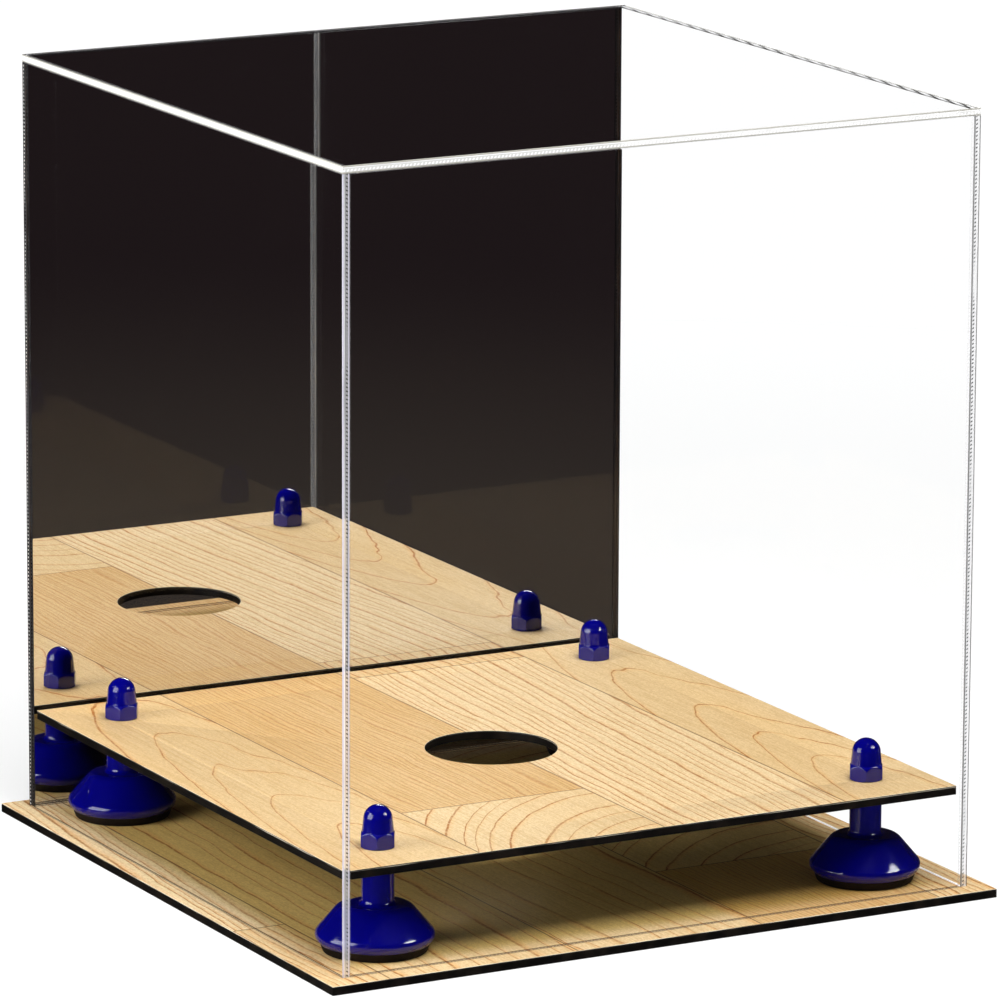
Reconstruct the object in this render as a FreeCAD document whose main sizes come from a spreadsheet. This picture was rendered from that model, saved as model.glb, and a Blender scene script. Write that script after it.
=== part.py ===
import FreeCAD, Part
import math
import os

import Sketcher

# Ball display case: a clear cover with a mirror back stands over a wood-grain platform on four risers.
# Millimetres. The origin is the middle of the base's underside, +Z is up and the front faces -Y.

SIZES = {
    # clear cover, outside, and the sheet that it is made of
    "cover_width": 280.0,
    "cover_depth": 284.0,
    "cover_height": 315.0,
    "panel_thickness": 3.0,
    "silvering_thickness": 0.3,
    # boards of the base and the platform, with the wood-grain sheet on top
    "base_margin": 8.75,
    "board_thickness": 3.2,
    "veneer_thickness": 0.4,
    "platform_clearance": 1.0,
    "ball_seat_diameter": 54.0,
    # risers, from the pad up to the platform
    "riser_inset": 26.2,
    "riser_height": 34.2,
    "riser_bottom_diameter": 41.2,
    "riser_rim_diameter": 46.4,
    "riser_rim_height": 3.0,
    "riser_rim_round": 3.0,
    "riser_shoulder_diameter": 25.8,
    "riser_shoulder_height": 15.2,
    "riser_shoulder_round": 5.5,
    "riser_neck_diameter": 12.8,
    "riser_neck_round": 2.0,
    # rubber pad under each riser
    "pad_height": 3.5,
    "pad_top_diameter": 41.0,
    "pad_foot_diameter": 38.4,
    "pad_bevel": 0.6,
    # bolt through each riser
    "bolt_diameter": 8.0,
    "bolt_end_bevel": 0.8,
    "bolt_head_flats": 13.0,
    "bolt_head_height": 5.3,
    "bolt_head_side_clearance": 0.6,
    "bolt_head_end_clearance": 0.7,
    "bolt_hole_clearance": 0.25,
    "bolt_reach_into_nut": 9.0,
    # cap nut on top of each bolt
    "nut_flats": 13.0,
    "nut_hex_height": 6.3,
    "nut_corner_bevel": 1.4,
    "nut_foot_bevel": 0.8,
    "nut_height": 16.8,
    "nut_dome_foot_diameter": 12.5,
    "nut_dome_diameter": 11.5,
    "nut_bore_clearance": 0.05,
    "nut_bore_end_clearance": 1.5,
}

doc = FreeCAD.newDocument("ball_display_case")
sheet = doc.addObject("Spreadsheet::Sheet", "Sizes")
for row, (alias, size) in enumerate(SIZES.items(), start=1):
    sheet.set("A%d" % row, alias)
    sheet.set("B%d" % row, str(size))
    sheet.setAlias("B%d" % row, alias)
doc.recompute()

# Sizes and places that follow from the sheet, as expressions
BASE_WIDTH = "(Sizes.cover_width + 2 * Sizes.base_margin)"
BASE_DEPTH = "(Sizes.cover_depth + 2 * Sizes.base_margin)"
BASE_TOP = "(Sizes.board_thickness + Sizes.veneer_thickness)"
WALL_GAP = "(Sizes.panel_thickness + Sizes.platform_clearance)"
PLATFORM_WIDTH = "(Sizes.cover_width - 2 * %s)" % WALL_GAP
PLATFORM_DEPTH = "(Sizes.cover_depth - 2 * %s)" % WALL_GAP
RISER_X = "(%s / 2 - Sizes.riser_inset)" % PLATFORM_WIDTH
RISER_Y = "(%s / 2 - Sizes.riser_inset)" % PLATFORM_DEPTH
RISER_BOTTOM = "(%s + Sizes.pad_height)" % BASE_TOP
PLATFORM_BOTTOM = "(%s + Sizes.riser_height)" % RISER_BOTTOM
PLATFORM_SHEET = "(%s + Sizes.board_thickness)" % PLATFORM_BOTTOM
PLATFORM_TOP = "(%s + Sizes.veneer_thickness)" % PLATFORM_SHEET
BOLT_RADIUS = "(Sizes.bolt_diameter / 2)"
BOLT_HOLE_RADIUS = "(%s + Sizes.bolt_hole_clearance)" % BOLT_RADIUS
HEAD_CORNER = "(Sizes.bolt_head_flats / sqrt(3))"
HEAD_RECESS_RADIUS = "(%s + Sizes.bolt_head_side_clearance)" % HEAD_CORNER
HEAD_RECESS_DEPTH = "(Sizes.bolt_head_height + Sizes.bolt_head_end_clearance)"
BOLT_BOTTOM = "(%s + Sizes.bolt_head_end_clearance)" % RISER_BOTTOM
BOLT_LENGTH = "(%s + Sizes.bolt_reach_into_nut - %s)" % (PLATFORM_TOP, BOLT_BOTTOM)
NUT_CORNER = "(Sizes.nut_flats / sqrt(3))"
NUT_DOME_FOOT = "(Sizes.nut_dome_foot_diameter / 2)"
NUT_DOME_RADIUS = "(Sizes.nut_dome_diameter / 2)"
NUT_BORE_DEPTH = "(Sizes.bolt_reach_into_nut + Sizes.nut_bore_end_clearance)"
WALL_HEIGHT = "(Sizes.cover_height - Sizes.panel_thickness)"
INNER_WIDTH = "(Sizes.cover_width - 2 * Sizes.panel_thickness)"
MIRROR_SHEET = "(Sizes.panel_thickness - Sizes.silvering_thickness)"

# Which side and which end of the platform each corner is on, from the front left round to the rear left
CORNERS = ((-1, -1), (1, -1), (1, 1), (-1, 1))

# The sketcher's own numbers for its axes, its origin and the points of a curve
X_AXIS, Y_AXIS = range(-1, -3, -1)
START, END, CENTRE = range(1, 4)
ORIGIN_POINT = (X_AXIS, START)

# Two lengths closer than this are the same edge
SAME_LENGTH = 1e-6

pieces = []


def value(expression):
    """The number that an expression has with the sheet's present sizes."""
    return float(sheet.evalExpression(expression))


def place(piece, x, y, z):
    """Tie a piece's position to the sheet."""
    for axis, expression in (("x", x), ("y", y), ("z", z)):
        piece.setExpression("Placement.Base." + axis, expression)


def add_body(name):
    body = doc.addObject("PartDesign::Body", name)
    body.Label = name
    pieces.append(body)
    return body


def add_sketch(body, role):
    """An empty sketch on one of the body's own origin planes."""
    sketch = body.newObject("Sketcher::SketchObject", body.Label + "_sketch")
    plane = [feature for feature in body.Origin.OriginFeatures if feature.Role == role][0]
    sketch.AttachmentSupport = [(plane, "")]
    sketch.MapMode = "FlatFace"
    return sketch


def tie_size(sketch, kind, geometry, expression):
    """Add one dimension to a sketch and tie it to the sheet."""
    index = sketch.addConstraint(Sketcher.Constraint(kind, *geometry, value(expression)))
    name = "%s_%d" % (kind.lower(), index)
    sketch.renameConstraint(index, name)
    sketch.setExpression("Constraints." + name, expression)


def tie_point(sketch, curve, end, x, y):
    """Tie a point's distances from the sketch's origin to the sheet."""
    for axis, kind, expression in ((Y_AXIS, "DistanceX", x), (X_AXIS, "DistanceY", y)):
        if expression == "0":
            sketch.addConstraint(Sketcher.Constraint("PointOnObject", curve, end, axis))
        else:
            tie_size(sketch, kind, (*ORIGIN_POINT, curve, end), expression)


def draw_path(sketch, corners):
    """Straight lines from corner to corner, each corner tied to the sheet."""
    points = [FreeCAD.Vector(value(x), value(y), 0) for x, y in corners]
    lines = [sketch.addGeometry(Part.LineSegment(a, b), False) for a, b in zip(points, points[1:])]
    for before, after in zip(lines, lines[1:]):
        sketch.addConstraint(Sketcher.Constraint("Coincident", before, END, after, START))
    for line, (x, y) in zip(lines, corners):
        tie_point(sketch, line, START, x, y)
    return lines


def draw_outline(sketch, corners):
    """A closed outline of straight lines."""
    lines = draw_path(sketch, [*corners, corners[0]])
    sketch.addConstraint(Sketcher.Constraint("Coincident", lines[-1], END, lines[0], START))


def draw_rectangle(sketch, width, depth):
    """A rectangle about the sketch's origin."""
    draw_outline(sketch, [("%d * %s / 2" % (side, width), "%d * %s / 2" % (end, depth))
                          for side, end in CORNERS])


def draw_hexagon(sketch, flats):
    """A hexagon with a corner on +X, given its width across flats."""
    corner = "%s / sqrt(3)" % flats
    half_corner = "%s / 2" % corner
    apothem = "%s / 2" % flats
    draw_outline(sketch, [
        (corner, "0"), (half_corner, apothem), ("-" + half_corner, apothem),
        ("-" + corner, "0"), ("-" + half_corner, "-" + apothem), (half_corner, "-" + apothem),
    ])


def draw_circle(sketch, x, y, radius):
    centre = FreeCAD.Vector(value(x), value(y), 0)
    circle = sketch.addGeometry(Part.Circle(centre, FreeCAD.Vector(0, 0, 1), value(radius)), False)
    tie_point(sketch, circle, CENTRE, x, y)
    tie_size(sketch, "Radius", (circle,), radius)


def pad(body, sketch, length):
    feature = body.newObject("PartDesign::Pad", body.Label + "_pad")
    feature.Profile = sketch
    feature.setExpression("Length", length)


def turn(body, sketch, kind):
    """Revolve a sketch about +Z, to add material or to cut it."""
    feature = body.newObject("PartDesign::" + kind, body.Label + "_" + kind.lower())
    feature.Profile = sketch
    feature.ReferenceAxis = (sketch, ["V_Axis"])
    feature.Angle = 360.0


def ring_edge(feature, radius, height):
    """The name of the feature's circular edge about Z that has this radius and height."""
    for number, edge in enumerate(feature.Shape.Edges, start=1):
        if isinstance(edge.Curve, Part.Circle) and edge.isClosed():
            same_radius = abs(edge.Curve.Radius - value(radius)) < SAME_LENGTH
            if same_radius and abs(edge.Curve.Center.z - value(height)) < SAME_LENGTH:
                return "Edge%d" % number
    raise ValueError("no edge of radius %s at height %s" % (radius, height))


def soften(body, kind, size_property, radius, height, size):
    """Round or bevel one circular edge of a turned body."""
    doc.recompute()
    base = body.Tip
    edge = ring_edge(base, radius, height)
    feature = body.newObject("PartDesign::" + kind, body.Label + "_" + kind.lower())
    feature.Base = (base, [edge])
    feature.setExpression(size_property, size)


def add_board(name, width, depth, thickness, bottom, with_holes):
    """A flat rectangular sheet; the platform's sheets have the ball's seat and the bolt holes."""
    body = add_body(name)
    sketch = add_sketch(body, "XY_Plane")
    draw_rectangle(sketch, width, depth)
    if with_holes:
        draw_circle(sketch, "0", "0", "Sizes.ball_seat_diameter / 2")
        for side, end in CORNERS:
            draw_circle(sketch, "%d * %s" % (side, RISER_X), "%d * %s" % (end, RISER_Y), BOLT_HOLE_RADIUS)
    pad(body, sketch, thickness)
    place(body, "0", "0", bottom)


def add_riser(name):
    """A neck on a flared foot, with a bolt hole and a recess for the bolt's head underneath."""
    rim_radius = "Sizes.riser_rim_diameter / 2"
    rim_height = "Sizes.riser_rim_height"
    shoulder_radius = "Sizes.riser_shoulder_diameter / 2"
    shoulder_height = "Sizes.riser_shoulder_height"
    neck_radius = "Sizes.riser_neck_diameter / 2"
    body = add_body(name)
    sketch = add_sketch(body, "XZ_Plane")
    draw_outline(sketch, [
        (HEAD_RECESS_RADIUS, "0"),
        ("Sizes.riser_bottom_diameter / 2", "0"),
        (rim_radius, rim_height),
        (shoulder_radius, shoulder_height),
        (neck_radius, shoulder_height),
        (neck_radius, "Sizes.riser_height"),
        (BOLT_HOLE_RADIUS, "Sizes.riser_height"),
        (BOLT_HOLE_RADIUS, HEAD_RECESS_DEPTH),
        (HEAD_RECESS_RADIUS, HEAD_RECESS_DEPTH),
    ])
    turn(body, sketch, "Revolution")
    soften(body, "Fillet", "Radius", rim_radius, rim_height, "Sizes.riser_rim_round")
    soften(body, "Fillet", "Radius", shoulder_radius, shoulder_height, "Sizes.riser_shoulder_round")
    soften(body, "Fillet", "Radius", neck_radius, shoulder_height, "Sizes.riser_neck_round")
    return body


def add_riser_pad(name):
    """A rubber disc that narrows towards its foot."""
    foot_radius = "Sizes.pad_foot_diameter / 2"
    body = add_body(name)
    sketch = add_sketch(body, "XZ_Plane")
    draw_outline(sketch, [("0", "0"), (foot_radius, "0"),
                          ("Sizes.pad_top_diameter / 2", "Sizes.pad_height"), ("0", "Sizes.pad_height")])
    turn(body, sketch, "Revolution")
    soften(body, "Chamfer", "Size", foot_radius, "0", "Sizes.pad_bevel")
    return body


def add_riser_bolt(name):
    """A hexagon head with a plain shank that reaches into the cap nut."""
    body = add_body(name)
    head = add_sketch(body, "XY_Plane")
    draw_hexagon(head, "Sizes.bolt_head_flats")
    pad(body, head, "Sizes.bolt_head_height")
    shank = add_sketch(body, "XY_Plane")
    draw_circle(shank, "0", "0", BOLT_RADIUS)
    pad(body, shank, BOLT_LENGTH)
    soften(body, "Chamfer", "Size", BOLT_RADIUS, BOLT_LENGTH, "Sizes.bolt_end_bevel")
    return body


def add_cap_nut(name):
    """A hexagon with bevelled corners, a dome over it and a blind bore for the bolt."""
    body = add_body(name)
    hexagon = add_sketch(body, "XY_Plane")
    draw_hexagon(hexagon, "Sizes.nut_flats")
    pad(body, hexagon, "Sizes.nut_hex_height")

    # A cut reaches twice as far out as the corners, and its slope is set by the bevel at the corner.
    cut_radius = "2 * " + NUT_CORNER
    slope = "Sizes.nut_corner_bevel / (%s - %s)" % (NUT_CORNER, NUT_DOME_FOOT)
    drop = "Sizes.nut_hex_height - (%s - %s) * %s" % (cut_radius, NUT_DOME_FOOT, slope)
    top_cut = add_sketch(body, "XZ_Plane")
    draw_outline(top_cut, [(NUT_DOME_FOOT, "Sizes.nut_hex_height"), (cut_radius, drop),
                           (cut_radius, "Sizes.nut_hex_height")])
    turn(body, top_cut, "Groove")

    foot_slope = "Sizes.nut_foot_bevel / (%s - Sizes.nut_flats / 2)" % NUT_CORNER
    foot_rise = "(%s - Sizes.nut_flats / 2) * %s" % (cut_radius, foot_slope)
    foot_cut = add_sketch(body, "XZ_Plane")
    draw_outline(foot_cut, [("Sizes.nut_flats / 2", "0"), (cut_radius, "0"), (cut_radius, foot_rise)])
    turn(body, foot_cut, "Groove")

    # The dome starts inside the hexagon, so that the two join in one solid, and its side tapers a little.
    dome_bottom = "Sizes.nut_hex_height / 2"
    dome_side_top = "Sizes.nut_height - " + NUT_DOME_RADIUS
    dome = add_sketch(body, "XZ_Plane")
    lines = draw_path(dome, [("0", "Sizes.nut_height"), ("0", dome_bottom), (NUT_DOME_FOOT, dome_bottom),
                             (NUT_DOME_FOOT, "Sizes.nut_hex_height"), (NUT_DOME_RADIUS, dome_side_top)])
    tie_point(dome, lines[-1], END, NUT_DOME_RADIUS, dome_side_top)
    centre = FreeCAD.Vector(0, value(dome_side_top), 0)
    round_top = Part.Circle(centre, FreeCAD.Vector(0, 0, 1), value(NUT_DOME_RADIUS))
    arc = dome.addGeometry(Part.ArcOfCircle(round_top, 0.0, math.pi / 2), False)
    dome.addConstraint(Sketcher.Constraint("Coincident", lines[-1], END, arc, START))
    dome.addConstraint(Sketcher.Constraint("Coincident", arc, END, lines[0], START))
    dome.addConstraint(Sketcher.Constraint("PointOnObject", arc, CENTRE, Y_AXIS))
    turn(body, dome, "Revolution")

    doc.recompute()
    volume_before = body.Shape.Volume
    bore = add_sketch(body, "XY_Plane")
    draw_circle(bore, "0", "0", "%s + Sizes.nut_bore_clearance" % BOLT_RADIUS)
    pocket = body.newObject("PartDesign::Pocket", body.Label + "_pocket")
    pocket.Profile = bore
    pocket.Reversed = True
    pocket.setExpression("Length", NUT_BORE_DEPTH)
    doc.recompute()
    if body.Shape.Volume >= volume_before:
        raise ValueError("the bore of %s cuts nothing" % name)
    return body


def add_panel(name, size, corner):
    """A flat panel of the cover, given its size and its lowest corner."""
    panel = doc.addObject("Part::Box", name)
    panel.Label = name
    for edge, expression in zip(("Length", "Width", "Height"), size):
        panel.setExpression(edge, expression)
    place(panel, *corner)
    pieces.append(panel)


# Base and platform
add_board("base_board", BASE_WIDTH, BASE_DEPTH, "Sizes.board_thickness", "0", False)
add_board("base_veneer", BASE_WIDTH, BASE_DEPTH, "Sizes.veneer_thickness", "Sizes.board_thickness", False)
add_board("platform_board", PLATFORM_WIDTH, PLATFORM_DEPTH, "Sizes.board_thickness", PLATFORM_BOTTOM, True)
add_board("platform_veneer", PLATFORM_WIDTH, PLATFORM_DEPTH, "Sizes.veneer_thickness", PLATFORM_SHEET, True)

# A riser with its pad, bolt and nut at each corner of the platform
for number, (side, end) in enumerate(CORNERS, start=1):
    x = "%d * %s" % (side, RISER_X)
    y = "%d * %s" % (end, RISER_Y)
    place(add_riser_pad("riser_pad_%d" % number), x, y, BASE_TOP)
    place(add_riser("riser_%d" % number), x, y, RISER_BOTTOM)
    place(add_riser_bolt("riser_bolt_%d" % number), x, y, BOLT_BOTTOM)
    place(add_cap_nut("cap_nut_%d" % number), x, y, PLATFORM_TOP)

# Cover: side walls from front to back, the front and the mirror between them, and the top over all four
side_wall = ("Sizes.panel_thickness", "Sizes.cover_depth", WALL_HEIGHT)
left = "-Sizes.cover_width / 2"
front = "-Sizes.cover_depth / 2"
inner_left = "-%s / 2" % INNER_WIDTH
inner_right = "%s / 2" % INNER_WIDTH
silvering_front = "Sizes.cover_depth / 2 - Sizes.silvering_thickness"
mirror_front = "Sizes.cover_depth / 2 - Sizes.panel_thickness"
add_panel("left_panel", side_wall, (left, front, BASE_TOP))
add_panel("right_panel", side_wall, (inner_right, front, BASE_TOP))
add_panel("front_panel", (INNER_WIDTH, "Sizes.panel_thickness", WALL_HEIGHT), (inner_left, front, BASE_TOP))
add_panel("mirror_sheet", (INNER_WIDTH, MIRROR_SHEET, WALL_HEIGHT), (inner_left, mirror_front, BASE_TOP))
add_panel("mirror_backing", (INNER_WIDTH, "Sizes.silvering_thickness", WALL_HEIGHT),
          (inner_left, silvering_front, BASE_TOP))
add_panel("top_panel", ("Sizes.cover_width", "Sizes.cover_depth", "Sizes.panel_thickness"),
          (left, front, "%s + %s" % (BASE_TOP, WALL_HEIGHT)))

doc.recompute()
for obj in doc.Objects:
    if "Invalid" in obj.State or "Error" in obj.State:
        raise RuntimeError("%s did not compute" % obj.Label)
for piece in pieces:
    if piece.Shape.isNull() or not piece.Shape.isValid() or len(piece.Shape.Solids) != 1:
        raise RuntimeError("%s is not one valid solid" % piece.Label)

os.makedirs("parts", exist_ok=True)
for piece in pieces:
    piece.Shape.exportStep("parts/%s.step" % piece.Label)
    box = piece.Shape.optimalBoundingBox()
    print("%-16s %8.1f x %6.1f x %6.1f mm" % (piece.Label, box.XLength, box.YLength, box.ZLength))
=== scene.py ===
# %% [markdown]
# # A display case with a mirror back
# A clear acrylic cover with a mirror back stands over a raised wood-grain platform, which rests on four
# glossy risers with cap nuts on top. The CAD model gives every piece its size and place. This lesson dresses
# those pieces: it makes their finer shapes, their finishes, the studio around them and the camera.

# %% Load the CAD frame
import math

import bmesh
import bpy
from mathutils import Matrix, Vector


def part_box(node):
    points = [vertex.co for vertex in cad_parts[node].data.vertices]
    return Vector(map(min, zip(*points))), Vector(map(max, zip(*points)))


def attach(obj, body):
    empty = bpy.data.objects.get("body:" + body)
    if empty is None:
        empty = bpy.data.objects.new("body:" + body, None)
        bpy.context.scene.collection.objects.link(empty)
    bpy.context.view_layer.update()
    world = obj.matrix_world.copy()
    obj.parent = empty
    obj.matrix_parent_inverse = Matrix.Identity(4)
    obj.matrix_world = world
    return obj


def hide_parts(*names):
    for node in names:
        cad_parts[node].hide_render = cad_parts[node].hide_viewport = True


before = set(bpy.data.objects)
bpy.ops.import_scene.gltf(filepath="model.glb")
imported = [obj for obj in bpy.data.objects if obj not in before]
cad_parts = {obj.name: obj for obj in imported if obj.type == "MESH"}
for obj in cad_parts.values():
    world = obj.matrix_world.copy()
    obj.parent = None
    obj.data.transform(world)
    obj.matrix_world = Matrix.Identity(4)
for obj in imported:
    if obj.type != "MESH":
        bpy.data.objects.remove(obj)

MM = 0.001
CORNERS = range(1, 5)
scene = bpy.context.scene
scene.view_settings.view_transform = "Standard"
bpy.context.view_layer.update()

# %% [markdown]
# ## Small tools for node trees
# A node tree is a chain of small sums. The first helpers serve materials and Geometry Nodes alike, because
# both use the same Math node: one feeds a socket from another node or from a plain number, one adds a node,
# and the next ones do sums. The others make what every finish needs: eased ranges, stretched noise, mixed
# colours, and a shader whose colour, roughness and bumps follow a pattern.


# %% Helpers for nodes
def feed(tree, socket, value):
    """Link a node's output to a socket, or set the socket to a plain value."""
    if isinstance(value, bpy.types.NodeSocket):
        tree.links.new(value, socket)
    else:
        socket.default_value = value


def add(tree, kind, inputs=None, **settings):
    """Add one node, with its settings and the inputs that are given by name."""
    node = tree.nodes.new(kind)
    for name, value in settings.items():
        setattr(node, name, value)
    for name, value in (inputs or {}).items():
        feed(tree, node.inputs[name], value)
    return node


def calc(tree, operation, *values):
    """One sum on numbers."""
    node = tree.nodes.new("ShaderNodeMath")
    node.operation = operation
    for socket, value in zip(node.inputs, values):
        feed(tree, socket, value)
    return node.outputs[0]


def apart(tree, first, second):
    """How far apart two numbers are."""
    return calc(tree, "ABSOLUTE", calc(tree, "SUBTRACT", first, second))


def diagonal(tree, width, height):
    """The diagonal of a rectangle."""
    squares = [calc(tree, "POWER", side, 2.0) for side in (width, height)]
    return calc(tree, "SQRT", calc(tree, "ADD", *squares))


def rescale(tree, value, low, high, to_low=0.0, to_high=1.0):
    """Move a value from one range to another, eased at both ends."""
    node = add(tree, "ShaderNodeMapRange", interpolation_type="SMOOTHSTEP")
    for socket, number in zip(node.inputs, (value, low, high, to_low, to_high)):
        feed(tree, socket, number)
    return node.outputs[0]


def noise(tree, vector, stretch, detail=2.0):
    """Noise that is stretched along the axes. A larger stretch gives finer noise."""
    place = add(tree, "ShaderNodeMapping", {"Vector": vector, "Scale": stretch})
    cloud = add(tree, "ShaderNodeTexNoise", {"Vector": place.outputs[0], "Scale": 1.0, "Detail": detail})
    return cloud.outputs[0]


def mix_colour(tree, factor, first, second):
    """A colour between two colours."""
    node = add(tree, "ShaderNodeMix", data_type="RGBA")
    for index, value in ((0, factor), (6, first), (7, second)):
        feed(tree, node.inputs[index], value)
    return node.outputs[2]


def grey(level):
    """A grey of one level."""
    return (level, level, level, 1.0)


def empty_material(name):
    """A material whose node tree is still empty, and that tree."""
    material = bpy.data.materials.new(name)
    material.use_nodes = True
    material.node_tree.nodes.clear()
    return material, material.node_tree


def new_finish(name, inputs=None):
    """A material with one Principled shader, and the inputs that are given by name.

    Returns the material, its tree, the shader and the object coordinates.
    """
    material, tree = empty_material(name)
    shader = add(tree, "ShaderNodeBsdfPrincipled", inputs)
    add(tree, "ShaderNodeOutputMaterial", {"Surface": shader.outputs[0]})
    where = add(tree, "ShaderNodeTexCoord").outputs["Object"]
    return material, tree, shader, where


def tint_by(tree, shader, pattern, first, second):
    """Let a pattern colour the surface."""
    feed(tree, shader.inputs["Base Color"], mix_colour(tree, pattern, first, second))


def roughen_by(tree, shader, pattern, low, high, smooth, rough):
    """Let a pattern make the surface smoother or rougher."""
    feed(tree, shader.inputs["Roughness"], rescale(tree, pattern, low, high, smooth, rough))


def bump(tree, shader, height, strength, distance):
    """Let a height pattern tilt the surface."""
    node = add(tree, "ShaderNodeBump", {"Strength": strength, "Distance": distance, "Height": height})
    feed(tree, shader.inputs["Normal"], node.outputs[0])


print("helpers ready")

# %% [markdown]
# ## Maple strips
# The two sheets are printed like a floor of maple strips. A tree's growth rings are close to cylinders around
# its heart, so a board is a flat cut through nested cylinders. If the heart lies beside the board, the cut
# gives straight lines, and if it lies under the board and leans, the cut gives the arched cathedral figure.
# The group works that out: it finds which board a point is in, looks up where that board's heart lies and
# measures the distance to it. Both sheets use the group, each with its own seams.

# %% The shader group that draws maple strips
STRIP_WIDTH = 82 * MM
BOARD_LENGTH = 600 * MM
BOARD_STAGGER = 200 * MM
SEAM_WIDTH = 0.50 * MM
LINE_WIDTH = 0.52 * MM
LATE_WIDTH = 2.6 * MM

# Each kind of board: how far its heart lies to the side, how much it leans, where along the board it meets
# the surface and how far apart its rings are, with lengths in metres; then its tone from pale to tan and how
# strongly its rings show. Under the table stands the most that each column can hold.
BOARD_KINDS = (
    (-0.170, 0.10, -0.450, 0.0022, 0.72, 0.55),
    (-0.160, 0.14, -0.400, 0.0040, 0.30, 1.00),
    (0.160, 0.10, -0.450, 0.0085, 0.42, 0.90),
    (-0.150, 0.12, -0.450, 0.0100, 0.30, 0.90),
    (0.046, 0.60, -0.240, 0.0068, 0.24, 1.00),
    (0.185, 0.15, -0.450, 0.0042, -0.15, 0.90),
    (-0.014, 0.11, -0.360, 0.0066, 0.30, 1.00),
    (0.016, 0.095, -0.430, 0.0068, 0.52, 1.00),
)
KIND_REACH = (0.4, 2.0, 1.0, 0.02, 1.0, 1.0)


def new_group(name, inputs, outputs):
    """An empty shader group with named sockets."""
    group = bpy.data.node_groups.new(name, "ShaderNodeTree")
    for socket, kind in inputs:
        group.interface.new_socket(socket, in_out="INPUT", socket_type="NodeSocket" + kind)
    for socket in outputs:
        group.interface.new_socket(socket, in_out="OUTPUT", socket_type="NodeSocketFloat")
    return group, add(group, "NodeGroupInput").outputs, add(group, "NodeGroupOutput").inputs


maple_strips, given, result = new_group(
    "maple strips",
    (("Vector", "Vector"), ("Seam Place", "Float"), ("Butt Place", "Float"), ("Board Shift", "Float")),
    ("Rings", "Late Wood", "Fibres", "Tone", "Seams"),
)
tree = maple_strips
where = given["Vector"]
axes = add(tree, "ShaderNodeSeparateXYZ", {"Vector": where}).outputs
across = calc(tree, "DIVIDE", calc(tree, "SUBTRACT", axes[0], given["Seam Place"]), STRIP_WIDTH)
strip = calc(tree, "FLOOR", across)
in_strip = calc(tree, "SUBTRACT", calc(tree, "SUBTRACT", across, strip), 0.5)
from_centre = calc(tree, "MULTIPLY", in_strip, STRIP_WIDTH)
butt = calc(tree, "ADD", given["Butt Place"], calc(tree, "MULTIPLY", strip, BOARD_STAGGER))
along = calc(tree, "DIVIDE", calc(tree, "SUBTRACT", axes[1], butt), BOARD_LENGTH)
length = calc(tree, "FLOOR", along)
in_length = calc(tree, "SUBTRACT", calc(tree, "SUBTRACT", along, length), 0.5)

kind_count = len(BOARD_KINDS)
shifted = calc(tree, "ADD", calc(tree, "MULTIPLY_ADD", length, kind_count / 2, strip), given["Board Shift"])
board = calc(tree, "FLOORED_MODULO", shifted, kind_count)


def look_up(tree, board, column):
    """The value in one column of BOARD_KINDS for the board that a point is in."""
    stop_place = calc(tree, "DIVIDE", calc(tree, "ADD", board, 0.5), kind_count)
    chooser = add(tree, "ShaderNodeValToRGB", {"Fac": stop_place})
    chooser.color_ramp.interpolation = "CONSTANT"
    stops = chooser.color_ramp.elements
    for number, kind in enumerate(BOARD_KINDS):
        stop = stops[number] if number < 2 else stops.new(number / kind_count)
        stop.position = number / kind_count
        stop.color = grey(kind[column] / KIND_REACH[column] / 2 + 0.5)
    share = calc(tree, "SUBTRACT", chooser.outputs["Color"], 0.5)
    return calc(tree, "MULTIPLY", share, 2 * KIND_REACH[column])


heart, lean, centre, spacing, tone, strength = (
    look_up(tree, board, column) for column in range(len(KIND_REACH)))
print("maple strips:", kind_count, "kinds of board")

# %% [markdown]
# The distance to the heart is bent by noise, as a real trunk grows unevenly, and good and poor years set the
# rings wider or closer. A ring's dark line is equally thin all the way round, although the distance changes
# slowly where an arch turns, so the width is divided by that slope. The lines come and go along their length,
# some years show more than others, the late wood before a line is a little darker, and fine fibres run along.

# %% Rings, fibres and seams
BEND_SIDEWAYS, BEND_DOWN, WAVE_SIDEWAYS = 11 * MM, 7 * MM, 2.2 * MM
LEAST_SLOPE = 0.2
YEAR_DRIFT, YEAR_SWING = 0.30, 1.9
TONE_SWING = 0.8
DRIFT_SEED, YEAR_SEED = 7.3, 17.0
bend = calc(tree, "SUBTRACT", noise(tree, where, (26.0, 11.0, 11.0), 3.0), 0.5)
waves = calc(tree, "SUBTRACT", noise(tree, where, (110.0, 48.0, 48.0)), 0.5)
side = calc(tree, "SUBTRACT", from_centre, heart)
side = calc(tree, "ADD", side, calc(tree, "MULTIPLY", bend, BEND_SIDEWAYS))
side = calc(tree, "ADD", side, calc(tree, "MULTIPLY", waves, WAVE_SIDEWAYS))
under = calc(tree, "MULTIPLY", calc(tree, "SUBTRACT", axes[1], centre), lean)
under = calc(tree, "ADD", under, calc(tree, "MULTIPLY", bend, BEND_DOWN))
reach = diagonal(tree, side, under)
slope = calc(tree, "DIVIDE", diagonal(tree, side, calc(tree, "MULTIPLY", under, lean)), reach)
slope = calc(tree, "MAXIMUM", slope, LEAST_SLOPE)
years = calc(tree, "DIVIDE", reach, spacing)
good_years = add(tree, "ShaderNodeTexNoise", {
    "W": calc(tree, "MULTIPLY_ADD", years, YEAR_DRIFT, calc(tree, "MULTIPLY", board, DRIFT_SEED)),
    "Scale": 1.0, "Detail": 1.0}, noise_dimensions="1D").outputs[0]
years = calc(tree, "MULTIPLY_ADD", calc(tree, "SUBTRACT", good_years, 0.5), YEAR_SWING, years)
year = calc(tree, "FRACT", years)
year_number = calc(tree, "MULTIPLY_ADD", board, YEAR_SEED, calc(tree, "FLOOR", years))
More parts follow.
